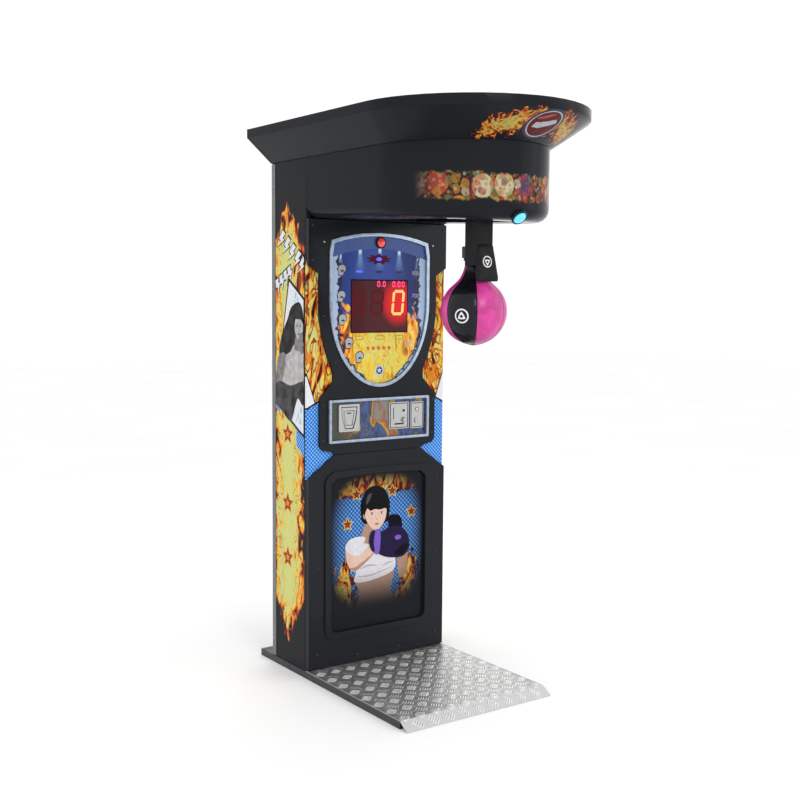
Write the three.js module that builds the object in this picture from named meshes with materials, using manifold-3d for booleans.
// A coin-operated boxing punch machine: a slim cabinet with a score display, a coin panel and a tread-plate
// platform, and an overhead head with a flared canopy, from which a punch bag swings on a pivoted arm.
// Millimetres, +Z up. The origin is on the floor, at the middle of the machine's footprint. The player
// stands at -Y and looks along +Y. Struck, the bag swings towards +Y and up into the head.
import * as THREE from "three";
import { mergeVertices } from "three/addons/utils/BufferGeometryUtils.js";
import Module from "manifold-3d";

const wasm = await Module();
wasm.setup();

// ---- driving dimensions ---------------------------------------------------------------------------
const HALF = 325; // half the cabinet's width
const FRONT = 313; // y of the cabinet's front face
const BACK = 573; // y of the cabinet's rear face
const BOARD = 18; // thickness of the side panels
const GAP = 0.3; // clearance between fitted pieces

const BASE_HALF = 328;
const BASE_BACK = 672;
const BASE_TOP = 27;
const PLATFORM_EDGE = -320; // y where the tread plate bends down to its nose
const NOSE = -362;
const TREAD = 3; // thickness of the tread plate

const UNDERSIDE = 1768; // height of the head's underside at the cabinet's front
const UNDERSIDE_SLOPE = 0.045; // the underside drops by this much for each mm forwards
const HEAD_TOP = 1988; // top of the head's wall and of the side panels
const FLARE_TOP = 2078; // top of the canopy's flare, where its upright lip begins
const CANOPY_TOP = 2112;
const HEAD_PLAN = { half: HALF, centre: -157, front: 370 };
const CANOPY_PLAN = { half: 430, centre: -242, front: 430 };
const ROUNDNESS = 1.9; // exponent of the plan's front curve, where 2 is an ellipse
const PLAN_STEPS = 22; // straight steps round the front curve

const PIVOT = { y: -307, z: 1862 };
const SHAFT_R = 12.5;
const ARM_HALF = 34; // half the arm's square section
const ARM_END = 1585;
const BAG = { y: -284, z: 1427, r: 117 };
const WELL = { half: 145, front: -362, back: 276 }; // opening in the underside that the arm and the bag use
const RAIL = { inner: 155, outer: 195, z0: 1785, z1: 1825 };

const FASCIA_FACE = 299; // y of the front mouldings' face
const FASCIA_BACK = FRONT - GAP;
const COIN = { half: 237.5, z0: 910, z1: 1080, rim: 12 };
const WINDOW = { half: 135, z0: 1334, z1: 1541 }; // score display
const START_Z = 1684; // centre of the start button
const START_SIZE = 0.78; // the start button's diameter against the head button's
const FLAP = { x: -142, top: 1046, bottom: 966, wide: 35, narrow: 16 };
const REJECT = { x: 118, z: 985, r: 9 };
const COIN_LOCK = { x: 184, z: 978, r: 9.5 };

// ---- geometry helpers -----------------------------------------------------------------------------
const signedVolume = (geometry) => {
  const index = geometry.index.array;
  const p = geometry.attributes.position;
  const corner = (i) => new THREE.Vector3().fromBufferAttribute(p, index[i]);
  let sum = 0;
  for (let i = 0; i < index.length; i += 3)
    sum += corner(i).dot(corner(i + 1).cross(corner(i + 2)));
  return sum;
};

// A closed surface whose shared vertices are merged and whose faces point out.
const closed = (geometry) => {
  const bare = geometry.clone();
  bare.deleteAttribute("normal");
  bare.deleteAttribute("uv");
  const merged = mergeVertices(bare, 1e-3);
  if (signedVolume(merged) < 0) merged.index.array.reverse();
  return merged;
};

const toSolid = (geometry) => {
  const g = closed(geometry);
  return new wasm.Manifold(
    new wasm.Mesh({
      numProp: 3,
      vertProperties: g.attributes.position.array,
      triVerts: new Uint32Array(g.index.array),
    }),
  );
};

const toGeometry = (solid) => {
  const mesh = solid.getMesh();
  const geometry = new THREE.BufferGeometry();
  geometry.setAttribute("position", new THREE.BufferAttribute(mesh.vertProperties, 3));
  geometry.setIndex(new THREE.BufferAttribute(mesh.triVerts, 1));
  return geometry;
};

const cut = (body, ...tools) =>
  toGeometry(tools.reduce((solid, tool) => solid.subtract(toSolid(tool)), toSolid(body)));
const join = (...pieces) =>
  toGeometry(pieces.slice(1).reduce((solid, piece) => solid.add(toSolid(piece)), toSolid(pieces[0])));

// A box from its low and high corners.
const box = (x0, x1, y0, y1, z0, z1) =>
  new THREE.BoxGeometry(x1 - x0, y1 - y0, z1 - z0).translate((x0 + x1) / 2, (y0 + y1) / 2, (z0 + z1) / 2);

const extrude = (shape, depth, curveSegments = 8) =>
  new THREE.ExtrudeGeometry(shape, { depth, bevelEnabled: false, steps: 1, curveSegments });
// An outline in (x, z) made thick from y0 to y1.
const plateXZ = (shape, y0, y1, segments) => {
  const basis = new THREE.Matrix4().makeBasis(
    new THREE.Vector3(1, 0, 0),
    new THREE.Vector3(0, 0, 1),
    new THREE.Vector3(0, -1, 0),
  );
  return extrude(shape, y1 - y0, segments).applyMatrix4(basis).translate(0, y1, 0);
};
// An outline in (x, y) made thick from z0 to z1.
const plateXY = (shape, z0, z1, segments) => extrude(shape, z1 - z0, segments).translate(0, 0, z0);
// An outline in (y, z) made thick from x0 to x1.
const plateYZ = (shape, x0, x1, segments) => {
  const basis = new THREE.Matrix4().makeBasis(
    new THREE.Vector3(0, 1, 0),
    new THREE.Vector3(0, 0, 1),
    new THREE.Vector3(1, 0, 0),
  );
  return extrude(shape, x1 - x0, segments).applyMatrix4(basis).translate(x0, 0, 0);
};

const polygon = (points) => new THREE.Shape(points.map(([u, v]) => new THREE.Vector2(u, v)));
// The right half of an outline, from top to bottom, and its mirror image.
const mirrored = (right) => {
  const points = right.map((p) => (Array.isArray(p) ? p : [p.x, p.y]));
  const left = points.filter(([u]) => u > 0).map(([u, v]) => [-u, v]);
  return polygon([...points, ...left.reverse()]);
};
const arc = (cx, cy, rx, ry, from, to, steps) =>
  Array.from({ length: steps + 1 }, (_, i) => {
    const a = THREE.MathUtils.degToRad(from + ((to - from) * i) / steps);
    return [cx + rx * Math.cos(a), cy + ry * Math.sin(a)];
  });
const roundedBox = (x0, x1, z0, z1, r, steps = 4) =>
  polygon([
    ...arc(x1 - r, z1 - r, r, r, 90, 0, steps),
    ...arc(x1 - r, z0 + r, r, r, 0, -90, steps),
    ...arc(x0 + r, z0 + r, r, r, -90, -180, steps),
    ...arc(x0 + r, z1 - r, r, r, 180, 90, steps),
  ]);

const rodX = (x0, x1, y, z, r, sides = 24) =>
  new THREE.CylinderGeometry(r, r, x1 - x0, sides).rotateZ(Math.PI / 2).translate((x0 + x1) / 2, y, z);
const rodY = (y0, y1, x, z, r, sides = 24) =>
  new THREE.CylinderGeometry(r, r, y1 - y0, sides).translate(x, (y0 + y1) / 2, z);
const rodZ = (z0, z1, x, y, r, sides = 16) =>
  new THREE.CylinderGeometry(r, r, z1 - z0, sides).rotateX(Math.PI / 2).translate(x, y, (z0 + z1) / 2);
// A profile of [radius, height] turned about +Y, with height 0 at the origin.
const turned = (profile, sides = 28) =>
  new THREE.LatheGeometry(profile.map(([r, h]) => new THREE.Vector2(r, h)), sides);

// A U-shaped plan curve: straight sides from backY, then a rounded front, inset all round.
const planCurve = ({ half, centre, front }, inset, backY) => {
  const power = 2 / ROUNDNESS;
  const front_ = Array.from({ length: PLAN_STEPS + 1 }, (_, i) => {
    const a = Math.PI - (Math.PI * i) / PLAN_STEPS;
    const c = Math.cos(a);
    return [
      (half - inset) * Math.sign(c) * Math.abs(c) ** power,
      centre - (front - inset) * Math.abs(Math.sin(a)) ** power,
    ];
  });
  return [[inset - half, backY], ...front_, [half - inset, backY]];
};
const planShape = (plan, inset, backY) => polygon(planCurve(plan, inset, backY));

// Joins closed loops of [x, y, z] into one solid, with flat caps in (x, z) at both ends.
const loft = (loops) => {
  const count = loops[0].length;
  const index = [];
  for (let i = 0; i + 1 < loops.length; i++)
    for (let j = 0; j < count; j++) {
      const a = i * count + j;
      const b = i * count + ((j + 1) % count);
      index.push(a, b, a + count, b, b + count, a + count);
    }
  const cap = (loop, offset, flip) => {
    const contour = loop.map(([x, , z]) => new THREE.Vector2(x, z));
    const side = Math.sign(THREE.ShapeUtils.area(contour)) * (flip ? -1 : 1);
    for (const [a, b, c] of THREE.ShapeUtils.triangulateShape(contour, [])) {
      const turn = Math.sign(THREE.ShapeUtils.area([contour[a], contour[b], contour[c]]));
      index.push(...(turn === side ? [a, b, c] : [a, c, b]).map((k) => k + offset));
    }
  };
  cap(loops[0], 0, true);
  cap(loops.at(-1), (loops.length - 1) * count, false);
  const geometry = new THREE.BufferGeometry();
  geometry.setAttribute("position", new THREE.Float32BufferAttribute(loops.flat(2), 3));
  geometry.setIndex(index);
  return geometry;
};

const undersideAt = (y) => UNDERSIDE + UNDERSIDE_SLOPE * (y - FRONT);
// Slants a level plate so that it follows the head's underside.
const slant = (geometry) => {
  const shear = new THREE.Matrix4().set(
    1, 0, 0, 0,
    0, 1, 0, 0,
    0, UNDERSIDE_SLOPE, 1, UNDERSIDE - UNDERSIDE_SLOPE * FRONT,
    0, 0, 0, 1,
  );
  return geometry.applyMatrix4(shear);
};

// ---- materials ------------------------------------------------------------------------------------
const paint = (color, roughness, metalness = 0) =>
  new THREE.MeshStandardMaterial({ color, roughness, metalness });
const FINISH = {
  board: paint(0x17181b, 0.35),
  moulding: paint(0x0d0d10, 0.15),
  steel: paint(0x9a9da2, 0.35, 1),
  frameSteel: paint(0x2a2c30, 0.5, 0.6),
  tread: paint(0xb9bbbd, 0.35, 1),
  chrome: paint(0xdfe6ee, 0.1, 1),
  glass: paint(0x2b4fa8, 0.08),
  red: paint(0xd8232a, 0.15),
  blue: paint(0x2aa9f0, 0.15),
  filter: paint(0x4a0b12, 0.1),
  print: paint(0x2f62c8, 0.3),
  leather: paint(0x16161a, 0.35),
  bag: paint(0xd23a96, 0.25),
  rubber: paint(0x151515, 0.9),
  plastic: paint(0x1b1b1e, 0.5),
  circuit: paint(0x1d5a35, 0.5),
  tin: paint(0xb8b8b4, 0.4, 1),
};

const machine = new THREE.Group();
const assembly = () => {
  const group = new THREE.Group();
  machine.add(group);
  return group;
};
const addTo = (group, name, geometry, material) => {
  const mesh = new THREE.Mesh(closed(geometry), material);
  mesh.name = name;
  group.add(mesh);
  return mesh;
};

// ---- base and platform ----------------------------------------------------------------------------
const base = assembly();
const RIM = 30;
addTo(
  base,
  "base_frame",
  cut(
    box(-BASE_HALF, BASE_HALF, PLATFORM_EDGE + 2, BASE_BACK, 0, BASE_TOP),
    box(RIM - BASE_HALF, BASE_HALF - RIM, PLATFORM_EDGE + RIM, FRONT - RIM / 2, -1, BASE_TOP - TREAD),
    box(RIM - BASE_HALF, BASE_HALF - RIM, FRONT + RIM / 2, BASE_BACK - RIM, -1, BASE_TOP - TREAD),
  ),
  FINISH.frameSteel,
);
addTo(
  base,
  "tread_plate",
  plateYZ(
    polygon([
      [FASCIA_BACK, BASE_TOP],
      [FASCIA_BACK, BASE_TOP + TREAD],
      [PLATFORM_EDGE, BASE_TOP + TREAD],
      [NOSE, TREAD],
      [NOSE, 0],
      [NOSE + 4.5, 0],
      [PLATFORM_EDGE + 1, BASE_TOP],
    ]),
    -BASE_HALF,
    BASE_HALF,
  ),
  FINISH.tread,
);

// ---- cabinet --------------------------------------------------------------------------------------
const cabinet = assembly();
const BOARD_TOP = UNDERSIDE - 4; // top of the front board
const BOARD_BACK = FRONT + 12;
const SIDE_OUTLINE = polygon([
  [BOARD_BACK + GAP, BASE_TOP],
  [BACK, BASE_TOP],
  [BACK, HEAD_TOP - GAP],
  [FRONT + GAP, HEAD_TOP - GAP],
  [FRONT + GAP, BOARD_TOP + GAP],
  [BOARD_BACK + GAP, BOARD_TOP + GAP],
]);
addTo(cabinet, "left_side_panel", plateYZ(SIDE_OUTLINE, -HALF, BOARD - HALF), FINISH.board);
// The right panel has a batten inside, which the rear door closes against and its lock holds.
addTo(
  cabinet,
  "right_side_panel",
  join(plateYZ(SIDE_OUTLINE, HALF - BOARD, HALF), box(295, HALF - BOARD + 1, 546, 557, 860, 1000)),
  FINISH.board,
);

// Aluminium angles on the two rear corners.
const TRIM = 25;
const TRIM_THICK = 2;
for (const [name, side] of [
  ["left_corner_trim", -1],
  ["right_corner_trim", 1],
]) {
  const face = side * (HALF + GAP);
  const outer = side * (HALF + GAP + TRIM_THICK);
  addTo(
    cabinet,
    name,
    plateXY(
      polygon([
        [face, BACK - TRIM],
        [outer, BACK - TRIM],
        [outer, BACK + GAP + TRIM_THICK],
        [side * (HALF - TRIM + 4), BACK + GAP + TRIM_THICK],
        [side * (HALF - TRIM + 4), BACK + GAP],
        [face, BACK + GAP],
      ]),
      BASE_TOP + 2,
      HEAD_TOP - 4,
    ),
    FINISH.steel,
  );
}

addTo(
  cabinet,
  "front_board",
  cut(
    box(1 - HALF, HALF - 1, FRONT, BOARD_BACK, BASE_TOP, BOARD_TOP),
    box(-WINDOW.half + 5, WINDOW.half - 5, FRONT - 1, BOARD_BACK + 1, WINDOW.z0 + 5, WINDOW.z1 - 5),
    box(-COIN.half + 30, COIN.half - 30, FRONT - 1, BOARD_BACK + 1, COIN.z0 + 25, COIN.z1 - 20),
    rodY(FRONT - 1, BOARD_BACK + 1, 0, START_Z, 15),
  ),
  FINISH.print,
);

// The shield that frames the score display, as the right half of its outline from top to bottom.
const shieldOutline = (inset) =>
  mirrored([
    ...arc(0, 1330, 560, 391 - inset, 90, 66.2, 5).map(([x, z]) => [x * (1 - inset / 240), z]),
    [235 - inset, 1640 - inset],
    ...arc(0, 1452, 235 - inset, 330 - inset, 0, -90, 14),
  ]);
const UPPER_FASCIA = mirrored([
  [0, BOARD_TOP],
  [HALF - 1, BOARD_TOP],
  [HALF - 1, 1590],
  [300, 1576],
  [275, 1560],
  [275, 1400],
  [262, 1320],
  [236, 1240],
  [212, 1185],
  [212, 1150],
  [268, 1092],
  [273, 1075],
  [273, 905],
  [262, 886],
  [214, 876],
  [205, 868],
  [0, 868],
]);
const coinOpening = roundedBox(-COIN.half, COIN.half, COIN.z0, COIN.z1, 4, 1);
addTo(
  cabinet,
  "upper_fascia",
  cut(
    plateXZ(UPPER_FASCIA, FASCIA_FACE, FASCIA_BACK),
    plateXZ(shieldOutline(-GAP), FASCIA_FACE - 1, FASCIA_BACK + 1),
    plateXZ(coinOpening, FASCIA_FACE - 1, FASCIA_BACK + 1),
  ),
  FINISH.moulding,
);

// The lower moulding: shoulders, a raised rim and an arched opening for the picture.
const archedOutline = (half, z0, z1, rise, corner = 24) =>
  mirrored([
    ...arc(0, z1 - 400, 1200, 400 + rise, 90, 90 - THREE.MathUtils.radToDeg(Math.asin((half - corner) / 1200)), 4),
    ...arc(half - corner, z1 - corner, corner, corner, 70, 0, 3),
    ...arc(half - corner, z0 + corner, corner, corner, 0, -90, 3),
    [0, z0],
  ]);
const LOWER_FASCIA = mirrored([
  [0, 866],
  [205, 866],
  [214, 858],
  [HALF - 1, 780],
  [HALF - 1, 34],
  [0, 34],
]);
const PICTURE = { half: 226, z0: 165, z1: 766, rise: 14 };
addTo(
  cabinet,
  "lower_fascia",
  cut(
    join(
      plateXZ(LOWER_FASCIA, FASCIA_FACE, FASCIA_BACK),
      plateXZ(archedOutline(252, 141, 790, 16, 34), FASCIA_FACE - 8, FASCIA_FACE + 1),
    ),
    plateXZ(archedOutline(PICTURE.half, PICTURE.z0, PICTURE.z1, PICTURE.rise), 280, FASCIA_BACK + 1),
  ),
  FINISH.moulding,
);
addTo(
  cabinet,
  "picture_panel",
  plateXZ(archedOutline(PICTURE.half - 1, PICTURE.z0 + 1, PICTURE.z1 - 1, PICTURE.rise), 307, FASCIA_BACK),
  FINISH.print,
);

// ---- score display --------------------------------------------------------------------------------
const display = assembly();
const GLASS = { y0: 301, y1: 305 };
const SHIELD_RIM = 13;
addTo(
  display,
  "shield_frame",
  cut(
    plateXZ(shieldOutline(0), 291, FASCIA_BACK),
    plateXZ(shieldOutline(SHIELD_RIM), 290, FRONT),
  ),
  FINISH.chrome,
);
addTo(
  display,
  "display_glass",
  cut(
    plateXZ(shieldOutline(SHIELD_RIM + 1), GLASS.y0, GLASS.y1),
    box(-WINDOW.half, WINDOW.half, 290, FRONT, WINDOW.z0, WINDOW.z1),
    rodY(290, FRONT, 0, START_Z, 15),
  ),
  FINISH.glass,
);
addTo(
  display,
  "display_filter",
  box(1 - WINDOW.half, WINDOW.half - 1, GLASS.y0 - 1, GLASS.y1 - 1, WINDOW.z0 + 1, WINDOW.z1 - 1),
  FINISH.filter,
);
addTo(
  display,
  "led_module",
  box(8 - WINDOW.half, WINDOW.half - 8, GLASS.y1 + GAP, 345, WINDOW.z0 + 8, WINDOW.z1 - 8),
  FINISH.circuit,
);

// A domed push button along +Y: a bezel with a stem, and a cap that travels in it.
const BEZEL = [
  [16.5, 0],
  [27, 0],
  [29, -3],
  [28.5, -9],
  [26, -12],
  [23.8, -12],
  [23.8, -4],
  [16.5, -4],
  [16.5, 0],
];
const CAP = [
  [0, -18],
  [9, -17.4],
  [17, -15],
  [21.5, -11.5],
  [23, -8.5],
  [23, -8.2],
  [14, -8.2],
  [14, 6],
  [0, 6],
];
const startButton = assembly();
startButton.position.set(0, GLASS.y0 - GAP, START_Z);
const startPiece = (profile) => turned(profile).scale(START_SIZE, 1, START_SIZE);
addTo(startButton, "start_button_bezel", startPiece(BEZEL), FINISH.moulding);
addTo(startButton, "start_button_cap", startPiece(CAP), FINISH.red);

// ---- coin panel -----------------------------------------------------------------------------------
const coinPanel = assembly();
addTo(
  coinPanel,
  "coin_frame",
  cut(
    plateXZ(roundedBox(GAP - COIN.half, COIN.half - GAP, COIN.z0 + GAP, COIN.z1 - GAP, 4, 1), 288, FASCIA_BACK),
    box(COIN.rim - COIN.half, COIN.half - COIN.rim, 280, 320, COIN.z0 + COIN.rim, COIN.z1 - COIN.rim),
  ),
  FINISH.chrome,
);
const PLATE_Y = 303; // face of the recessed coin plate
const flapShape = (margin) =>
  polygon([
    [FLAP.x - FLAP.wide - margin, FLAP.top + margin],
    [FLAP.x + FLAP.wide + margin, FLAP.top + margin],
    [FLAP.x + FLAP.wide - 7 + margin, 1000],
    [FLAP.x + FLAP.narrow + margin, FLAP.bottom - margin],
    [FLAP.x - FLAP.narrow - margin, FLAP.bottom - margin],
    [FLAP.x - FLAP.wide + 7 - margin, 1000],
  ]);
addTo(
  coinPanel,
  "coin_plate",
  cut(
    box(
      COIN.rim + GAP - COIN.half,
      COIN.half - COIN.rim - GAP,
      PLATE_Y,
      PLATE_Y + 3,
      COIN.z0 + COIN.rim + GAP,
      COIN.z1 - COIN.rim - GAP,
    ),
    plateXZ(flapShape(5), 300, 310),
    box(62, 74, 300, 310, 985, 1040),
    rodY(300, 310, REJECT.x, REJECT.z, REJECT.r + 1.5),
    rodY(300, 310, COIN_LOCK.x, COIN_LOCK.z, COIN_LOCK.r + 1),
  ),
  FINISH.print,
);
addTo(
  coinPanel,
  "coin_return_housing",
  cut(plateXZ(roundedBox(-190, -94, 952, 1059, 5, 2), PLATE_Y - 7, PLATE_Y - GAP), plateXZ(flapShape(3), 290, 310)),
  FINISH.steel,
);
addTo(
  coinPanel,
  "coin_return_flap",
  join(
    plateXZ(flapShape(0), PLATE_Y - 5, PLATE_Y - 2),
    rodX(FLAP.x - FLAP.wide, FLAP.x + FLAP.wide, PLATE_Y - 3.5, FLAP.top - 2, 2, 12),
  ),
  FINISH.steel,
);
// Coins drop into the cup through its open top and are taken out through the flap.
const CUP = { x0: -185, x1: -99, y0: PLATE_Y + 3 + GAP, y1: 388, z0: 946, z1: 1056, wall: 3 };
addTo(
  coinPanel,
  "coin_return_cup",
  cut(
    box(CUP.x0, CUP.x1, CUP.y0, CUP.y1, CUP.z0, CUP.z1),
    box(
      CUP.x0 + CUP.wall,
      CUP.x1 - CUP.wall,
      CUP.y0 - 1,
      CUP.y1 - CUP.wall,
      CUP.z0 + CUP.wall,
      CUP.z1 + 1,
    ),
  ),
  FINISH.tin,
);
addTo(
  coinPanel,
  "coin_acceptor_face",
  cut(
    plateXZ(roundedBox(46, 144, 949, 1057, 5, 2), PLATE_Y - 5, PLATE_Y - GAP),
    box(66.4, 69.6, 290, 310, 990, 1036),
    rodY(290, 310, REJECT.x, REJECT.z, REJECT.r + 1),
  ),
  FINISH.steel,
);
addTo(
  coinPanel,
  "coin_reject_button",
  join(
    rodY(PLATE_Y - 13, PLATE_Y + 7, REJECT.x, REJECT.z, REJECT.r, 20),
    rodY(PLATE_Y - 14.5, PLATE_Y - 12, REJECT.x, REJECT.z, REJECT.r - 2, 20),
  ),
  FINISH.red,
);
addTo(
  coinPanel,
  "coin_lock_plate",
  cut(
    plateXZ(roundedBox(151, 217, 947, 1055, 5, 2), PLATE_Y - 4, PLATE_Y - GAP),
    rodY(290, 310, COIN_LOCK.x, COIN_LOCK.z, COIN_LOCK.r + GAP),
  ),
  FINISH.steel,
);
addTo(
  coinPanel,
  "coin_lock_barrel",
  cut(
    join(
      rodY(PLATE_Y - 9, PLATE_Y + 22, COIN_LOCK.x, COIN_LOCK.z, COIN_LOCK.r, 20),
      rodY(PLATE_Y - 9, PLATE_Y - 4.3, COIN_LOCK.x, COIN_LOCK.z, COIN_LOCK.r + 3, 20),
      box(COIN_LOCK.x - 6, COIN_LOCK.x + 6, PLATE_Y + 19, PLATE_Y + 22, COIN_LOCK.z - 30, COIN_LOCK.z),
    ),
    box(COIN_LOCK.x - 1, COIN_LOCK.x + 1, PLATE_Y - 10, PLATE_Y - 3, COIN_LOCK.z - 4, COIN_LOCK.z + 4),
  ),
  FINISH.steel,
);

// ---- inside the cabinet ---------------------------------------------------------------------------
const inside = assembly();
addTo(inside, "coin_mech", box(45, 150, BOARD_BACK + GAP, 395, 930, 1075), FINISH.plastic);
addTo(
  inside,
  "cash_box",
  cut(box(-90, 110, 335, 500, BASE_TOP, 147), box(-86, 106, 339, 496, BASE_TOP + 4, 160)),
  FINISH.tin,
);
addTo(inside, "power_supply", box(-250, -140, 400, 500, 27, 92), FINISH.tin);
addTo(inside, "main_board", box(BOARD - HALF + GAP, BOARD - HALF + 22, 350, 520, 1150, 1400), FINISH.circuit);

// ---- rear: fixed panels, hinged service door and its lock -----------------------------------------
const rear = assembly();
const DOOR = { x0: -296, x1: 300, z0: 214, z1: 1700 };
const REAR_BACK = BACK - GAP;
const innerHalf = HALF - BOARD - GAP;
addTo(rear, "rear_top_panel", box(-innerHalf, innerHalf, REAR_BACK - 12, REAR_BACK, 1704, HEAD_TOP - GAP), FINISH.board);
const INLET = { x: 170, z: 120, half: 25, tall: 42 };
const ROCKER = { y: 566, z: INLET.z + 21 };
addTo(
  rear,
  "rear_lower_panel",
  cut(
    box(-innerHalf, innerHalf, REAR_BACK - 12, REAR_BACK, BASE_TOP, 210),
    box(INLET.x - INLET.half, INLET.x + INLET.half, 540, 580, INLET.z - INLET.tall, INLET.z + INLET.tall),
  ),
  FINISH.board,
);
// The mains inlet has a socket well below and an opening for the rocker switch above.
addTo(
  rear,
  "power_inlet",
  cut(
    join(
      box(INLET.x - 24, INLET.x + 24, 535, REAR_BACK, INLET.z - 41, INLET.z + 41),
      box(INLET.x - 29, INLET.x + 29, REAR_BACK + GAP, REAR_BACK + 3, INLET.z - 46, INLET.z + 46),
      box(INLET.x - 22, INLET.x + 22, REAR_BACK - 5, REAR_BACK + 2, INLET.z - 39, INLET.z + 39),
    ),
    box(INLET.x - 13, INLET.x + 13, 550, 580, INLET.z - 30, INLET.z - 10),
    box(INLET.x - 12, INLET.x + 12, 550, 580, ROCKER.z - 15, ROCKER.z + 15),
  ),
  FINISH.plastic,
);
addTo(
  rear,
  "power_rocker",
  plateYZ(
    polygon([
      [ROCKER.y - 6, ROCKER.z - 8],
      [ROCKER.y + 9, ROCKER.z - 11],
      [ROCKER.y + 7, ROCKER.z],
      [ROCKER.y + 12, ROCKER.z + 11],
      [ROCKER.y - 6, ROCKER.z + 8],
    ]),
    INLET.x - 11,
    INLET.x + 11,
  ),
  FINISH.red,
);

const REAR_LOCK = { x: 275, z: 950, r: 9.5 };
const VENT = { rows: 6, pitch: 22, z: 1500 };
const ventSlots = Array.from({ length: VENT.rows }, (_, row) =>
  box(-110, 110, 550, 580, VENT.z + row * VENT.pitch, VENT.z + row * VENT.pitch + 8),
);
addTo(
  rear,
  "rear_door",
  cut(
    box(DOOR.x0, DOOR.x1, REAR_BACK - 14, REAR_BACK, DOOR.z0, DOOR.z1),
    rodY(550, 580, REAR_LOCK.x, REAR_LOCK.z, REAR_LOCK.r + GAP),
    ...ventSlots,
  ),
  FINISH.board,
);
addTo(
  rear,
  "rear_lock_barrel",
  join(
    rodY(540, REAR_BACK + 3, REAR_LOCK.x, REAR_LOCK.z, REAR_LOCK.r, 20),
    rodY(REAR_BACK + GAP, REAR_BACK + 5, REAR_LOCK.x, REAR_LOCK.z, REAR_LOCK.r + 3, 20),
    box(REAR_LOCK.x - 7, REAR_LOCK.x + 7, 540, 543, REAR_LOCK.z - 29, REAR_LOCK.z),
  ),
  FINISH.steel,
);
// Lift-off hinges: the lower knuckle and its pin are fixed, the upper knuckle lifts with the door.
const HINGE = { x: -300, y: 580, r: 5 };
for (const [place, z] of [
  ["bottom", 420],
  ["top", 1450],
]) {
  addTo(
    rear,
    `hinge_${place}_frame_leaf`,
    join(
      rodZ(z - 40, z, HINGE.x, HINGE.y, HINGE.r),
      rodZ(z - 2, z + 36, HINGE.x, HINGE.y, 2.5),
      box(-HALF + 2, HINGE.x - 2, BACK + TRIM_THICK + 2 * GAP, HINGE.y - 1, z - 40, z),
    ),
    FINISH.steel,
  );
  addTo(
    rear,
    `hinge_${place}_door_leaf`,
    cut(
      join(
        rodZ(z + GAP, z + 40, HINGE.x, HINGE.y, HINGE.r),
        box(HINGE.x + 1, -262, REAR_BACK + GAP, REAR_BACK + 3, z + GAP, z + 40),
        box(HINGE.x + 1, HINGE.x + 6, REAR_BACK + GAP, HINGE.y, z + GAP, z + 40),
      ),
      rodZ(z - 1, z + 38, HINGE.x, HINGE.y, 3),
    ),
    FINISH.steel,
  );
}

// ---- head -----------------------------------------------------------------------------------------
const head = assembly();
const WALL = 10;
const FILLET = 46;
const FLANGE = 62; // how far the turned-in bottom edge reaches
// Wall section as [inset, height above the underside], with null for the level top edge.
const filletArc = (radius, inset, from, to) =>
  arc(FILLET, FILLET, radius, radius, from, to, 5).map(([u, v]) => [u + inset, v]);
const HEAD_SECTION = [
  [0, null],
  ...filletArc(FILLET, 0, 180, 270),
  [FLANGE, 0],
  [FLANGE, 8],
  ...filletArc(FILLET - WALL + 2, 0, 270, 180).map(([u, v]) => [Math.max(u, WALL), v]),
  [WALL, null],
];
const headLoops = () => {
  const curves = HEAD_SECTION.map(([inset]) => planCurve(HEAD_PLAN, inset, FRONT));
  return curves[0].map((_, k) =>
    HEAD_SECTION.map(([, height], j) => {
      const [x, y] = curves[j][k];
      return [x, y, height === null ? HEAD_TOP - GAP : undersideAt(y) + height];
    }),
  );
};
// The head's button looks down and forwards from the middle of the rounded bottom edge.
const HEAD_BUTTON = { y: HEAD_PLAN.centre - HEAD_PLAN.front + 14, tilt: Math.PI / 4 };
HEAD_BUTTON.z = undersideAt(HEAD_BUTTON.y) + 14;
const headButton = assembly();
headButton.position.set(0, HEAD_BUTTON.y, HEAD_BUTTON.z);
headButton.rotation.x = HEAD_BUTTON.tilt;
headButton.updateMatrixWorld();
const buttonHole = turned([[0, -30], [19, -30], [19, 40], [0, 40]], 24).applyMatrix4(headButton.matrixWorld);
const FLANGED_BEZEL = [
  [16.5, 0],
  [18, 0],
  [18, -1],
  [27, -1],
  [29, -4],
  [28.5, -9],
  [26, -12],
  [23.8, -12],
  [23.8, -4],
  [16.5, -4],
  [16.5, 0],
];
addTo(head, "head_shell", cut(loft(headLoops()), buttonHole), FINISH.moulding);
addTo(headButton, "head_button_bezel", turned(FLANGED_BEZEL), FINISH.moulding);
addTo(headButton, "head_button_cap", turned(CAP), FINISH.blue);

addTo(
  head,
  "head_bottom_panel",
  slant(
    cut(
      plateXY(planShape(HEAD_PLAN, FLANGE + 2 * GAP, FRONT), 0, 10),
      plateXY(roundedBox(-WELL.half, WELL.half, WELL.front, WELL.back, 30), -5, 20),
    ),
  ),
  FINISH.moulding,
);

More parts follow.
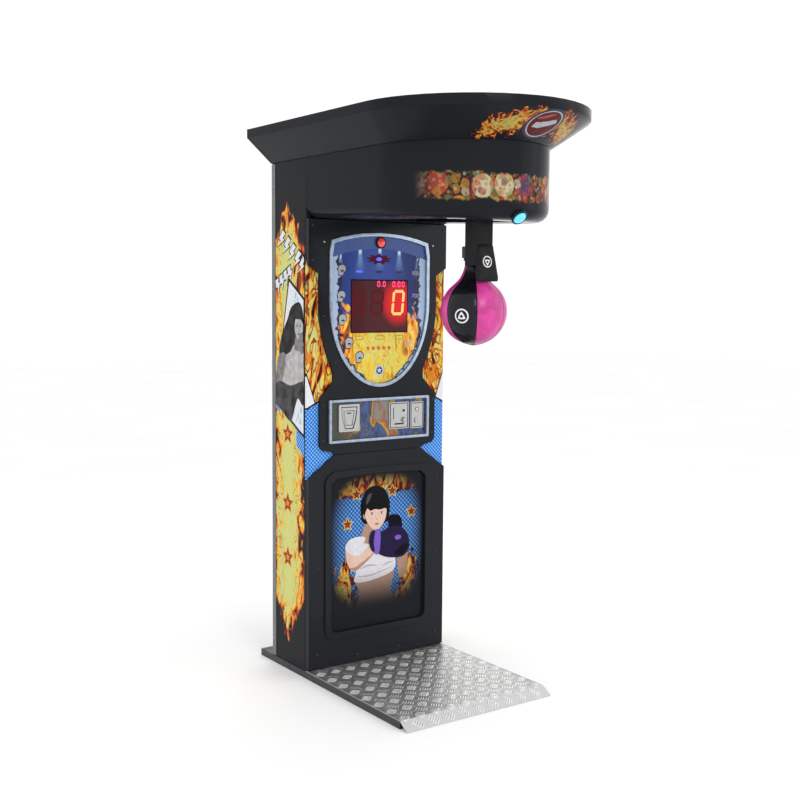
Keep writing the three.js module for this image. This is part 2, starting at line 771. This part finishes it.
// The canopy's flared fascia, as a ring open at the back.
const CANOPY_SECTION = [
  [HEAD_PLAN, 0, HEAD_TOP],
  [CANOPY_PLAN, 0, FLARE_TOP],
  [CANOPY_PLAN, 0, CANOPY_TOP],
  [CANOPY_PLAN, 8, CANOPY_TOP],
  [CANOPY_PLAN, 8, FLARE_TOP + 4],
  [HEAD_PLAN, 14, HEAD_TOP + 7],
  [HEAD_PLAN, 40, HEAD_TOP + 7],
  [HEAD_PLAN, 40, HEAD_TOP],
];
const canopyCurves = CANOPY_SECTION.map(([plan, inset]) => planCurve(plan, inset, BACK));
addTo(
  head,
  "canopy_fascia",
  loft(canopyCurves[0].map((_, k) => CANOPY_SECTION.map(([, , z], j) => [...canopyCurves[j][k], z]))),
  FINISH.moulding,
);
addTo(
  head,
  "canopy_roof",
  plateXY(planShape(CANOPY_PLAN, 10, BACK - 1), CANOPY_TOP - 14, CANOPY_TOP - 6),
  FINISH.board,
);
addTo(
  head,
  "canopy_back_panel",
  plateXZ(
    mirrored([
      [0, CANOPY_TOP],
      [CANOPY_PLAN.half, CANOPY_TOP],
      [CANOPY_PLAN.half, FLARE_TOP],
      [HALF, HEAD_TOP],
      [0, HEAD_TOP],
    ]),
    BACK + GAP,
    BACK + 10,
  ),
  FINISH.moulding,
);

// ---- steel frame that carries the arm -------------------------------------------------------------
const frame = assembly();
const RAIL_FRONT = -400;
const RAIL_BACK = 540;
const STOP = { y0: -180, y1: -140, z0: 1908, z1: 1948, drop: 22 };
const rails = [-1, 1].map((side) => {
  const inner = side * RAIL.inner;
  const outer = side * RAIL.outer;
  const [x0, x1] = [Math.min(inner, outer), Math.max(inner, outer)];
  return cut(
    join(
      box(x0, x1, RAIL_FRONT, RAIL_BACK, RAIL.z0, RAIL.z1),
      box(x0, x1, STOP.y0, STOP.y1, RAIL.z1 - 1, STOP.z0 + 1),
    ),
    box(x0 + 3, x1 - 3, RAIL_FRONT - 1, RAIL_BACK + 1, RAIL.z0 + 3, RAIL.z1 - 3),
  );
});
// Welded in one piece: two rails, a front channel, a rear beam across the cabinet and a stop beam.
addTo(
  frame,
  "support_frame",
  join(
    ...rails,
    cut(
      box(-RAIL.inner - 1, RAIL.inner + 1, -398, -360, RAIL.z0, RAIL.z1),
      box(-RAIL.inner, RAIL.inner, -395, -363, RAIL.z0 - 1, RAIL.z1 - 3),
    ),
    box(-innerHalf, innerHalf, 500, RAIL_BACK, RAIL.z0 - 45, RAIL.z0 + 1),
    box(-RAIL.outer, RAIL.outer, STOP.y0, STOP.y1, STOP.z0, STOP.z1),
  ),
  FINISH.frameSteel,
);
addTo(
  frame,
  "upper_bumper",
  new THREE.CylinderGeometry(20, 24, STOP.drop, 20)
    .rotateX(-Math.PI / 2)
    .translate(0, (STOP.y0 + STOP.y1) / 2, STOP.z0 - STOP.drop / 2),
  FINISH.rubber,
);
addTo(frame, "rest_bumper", box(-25, 25, -359.7, PIVOT.y - ARM_HALF - 1, 1790, 1820), FINISH.rubber);
for (const [name, x] of [
  ["left_bearing", -175],
  ["right_bearing", 175],
])
  addTo(
    frame,
    name,
    cut(
      join(
        box(x - 18, x + 18, PIVOT.y - 62, PIVOT.y + 62, RAIL.z1, RAIL.z1 + 14),
        rodX(x - 16, x + 16, PIVOT.y, PIVOT.z, 31),
        box(x - 16, x + 16, PIVOT.y - 31, PIVOT.y + 31, RAIL.z1 + 10, PIVOT.z),
      ),
      rodX(x - 30, x + 30, PIVOT.y, PIVOT.z, SHAFT_R + GAP),
    ),
    FINISH.steel,
  );

// ---- swinging arm, pad and bag --------------------------------------------------------------------
const swing = assembly();
const CATCH = { drop: 90, r: 6 }; // peg on the arm's side that the latch bolt holds
addTo(swing, "pivot_shaft", rodX(-200, 200, PIVOT.y, PIVOT.z, SHAFT_R), FINISH.steel);
addTo(
  swing,
  "swing_arm",
  cut(
    join(
      box(-ARM_HALF, ARM_HALF, PIVOT.y - ARM_HALF, PIVOT.y + ARM_HALF, ARM_END, PIVOT.z + 28),
      rodX(ARM_HALF - 2, 70, PIVOT.y, PIVOT.z - CATCH.drop, CATCH.r, 16),
    ),
    rodX(-50, 50, PIVOT.y, PIVOT.z, SHAFT_R + GAP),
    box(-ARM_HALF + 5, ARM_HALF - 5, PIVOT.y - ARM_HALF + 5, PIVOT.y + ARM_HALF - 5, ARM_END - 1, PIVOT.z - 25),
  ),
  FINISH.leather,
);
// The pad hangs down the arm's front. It widens downwards and its end leans clear of the bag's neck.
const padFace = PIVOT.y - ARM_HALF - GAP;
const padLoop = (z, half, lean, thick) => [
  [-half, padFace - lean, z],
  [half, padFace - lean, z],
  [half, padFace - lean - thick * 0.6, z],
  [half - 6, padFace - lean - thick, z],
  [6 - half, padFace - lean - thick, z],
  [-half, padFace - lean - thick * 0.6, z],
];
// The loops are built lying down, because a loft caps its ends in (x, z), and are then stood up.
const lyingDown = ([x, y, z]) => [x, z, -y];
const standUp = new THREE.Matrix4().makeRotationX(Math.PI / 2);
const padLoops = [
  [1656, 28, 0, 5],
  [1640, 33, 0, 9],
  [1600, 40, 0, 13],
  [1560, 46, 4, 12],
  [1545, 48, 7, 11],
  [1530, 43, 9, 8],
].map(([z, half, lean, thick]) => padLoop(z, half, lean, thick).map(lyingDown));
addTo(swing, "arm_pad", loft(padLoops).applyMatrix4(standUp), FINISH.leather);
// Pear-shaped bag: a ball that runs up into a neck, which ends at the arm's lower end.
const bagProfile = [
  [0, BAG.z - BAG.r - 1],
  ...arc(0, BAG.z, BAG.r, BAG.r, -80, 50, 13),
  [61, 1528],
  [50, 1541],
  [42, 1557],
  [36, 1573],
  [33, ARM_END - GAP],
  [0, ARM_END - GAP],
];
addTo(
  swing,
  "punch_bag",
  turned(bagProfile, 30).rotateX(Math.PI / 2).translate(0, BAG.y, 0),
  FINISH.bag,
);
addTo(
  swing,
  "bag_clamp",
  cut(
    box(-30, 30, PIVOT.y + ARM_HALF + GAP, PIVOT.y + ARM_HALF + 22, 1602, 1652),
    box(-40, 40, PIVOT.y + ARM_HALF + 12, PIVOT.y + ARM_HALF + 40, 1590, 1612),
  ),
  FINISH.frameSteel,
);
addTo(
  swing,
  "speed_disc",
  cut(rodX(128, 131, PIVOT.y, PIVOT.z, 60, 36), rodX(120, 140, PIVOT.y, PIVOT.z, SHAFT_R + GAP)),
  FINISH.steel,
);

// ---- latch and speed sensor -----------------------------------------------------------------------
const latch = assembly();
const BOLT = { y: -219.5, z: 1840.5, r: 7 };
addTo(
  latch,
  "latch_solenoid",
  cut(
    box(100, RAIL.inner - GAP, BOLT.y - 25, BOLT.y + 25, RAIL.z0 + 10, BOLT.z + 26),
    rodX(90, RAIL.inner - 8, BOLT.y, BOLT.z, BOLT.r + 0.6, 20),
  ),
  FINISH.tin,
);
addTo(latch, "latch_bolt", rodX(78, 140, BOLT.y, BOLT.z, BOLT.r, 20), FINISH.steel);
addTo(
  latch,
  "speed_sensor",
  cut(
    box(116, 143, -386, -352, RAIL.z1, 1882),
    box(125, 134, -374, -340, RAIL.z1 - 5, 1890),
  ),
  FINISH.plastic,
);

export default machine;
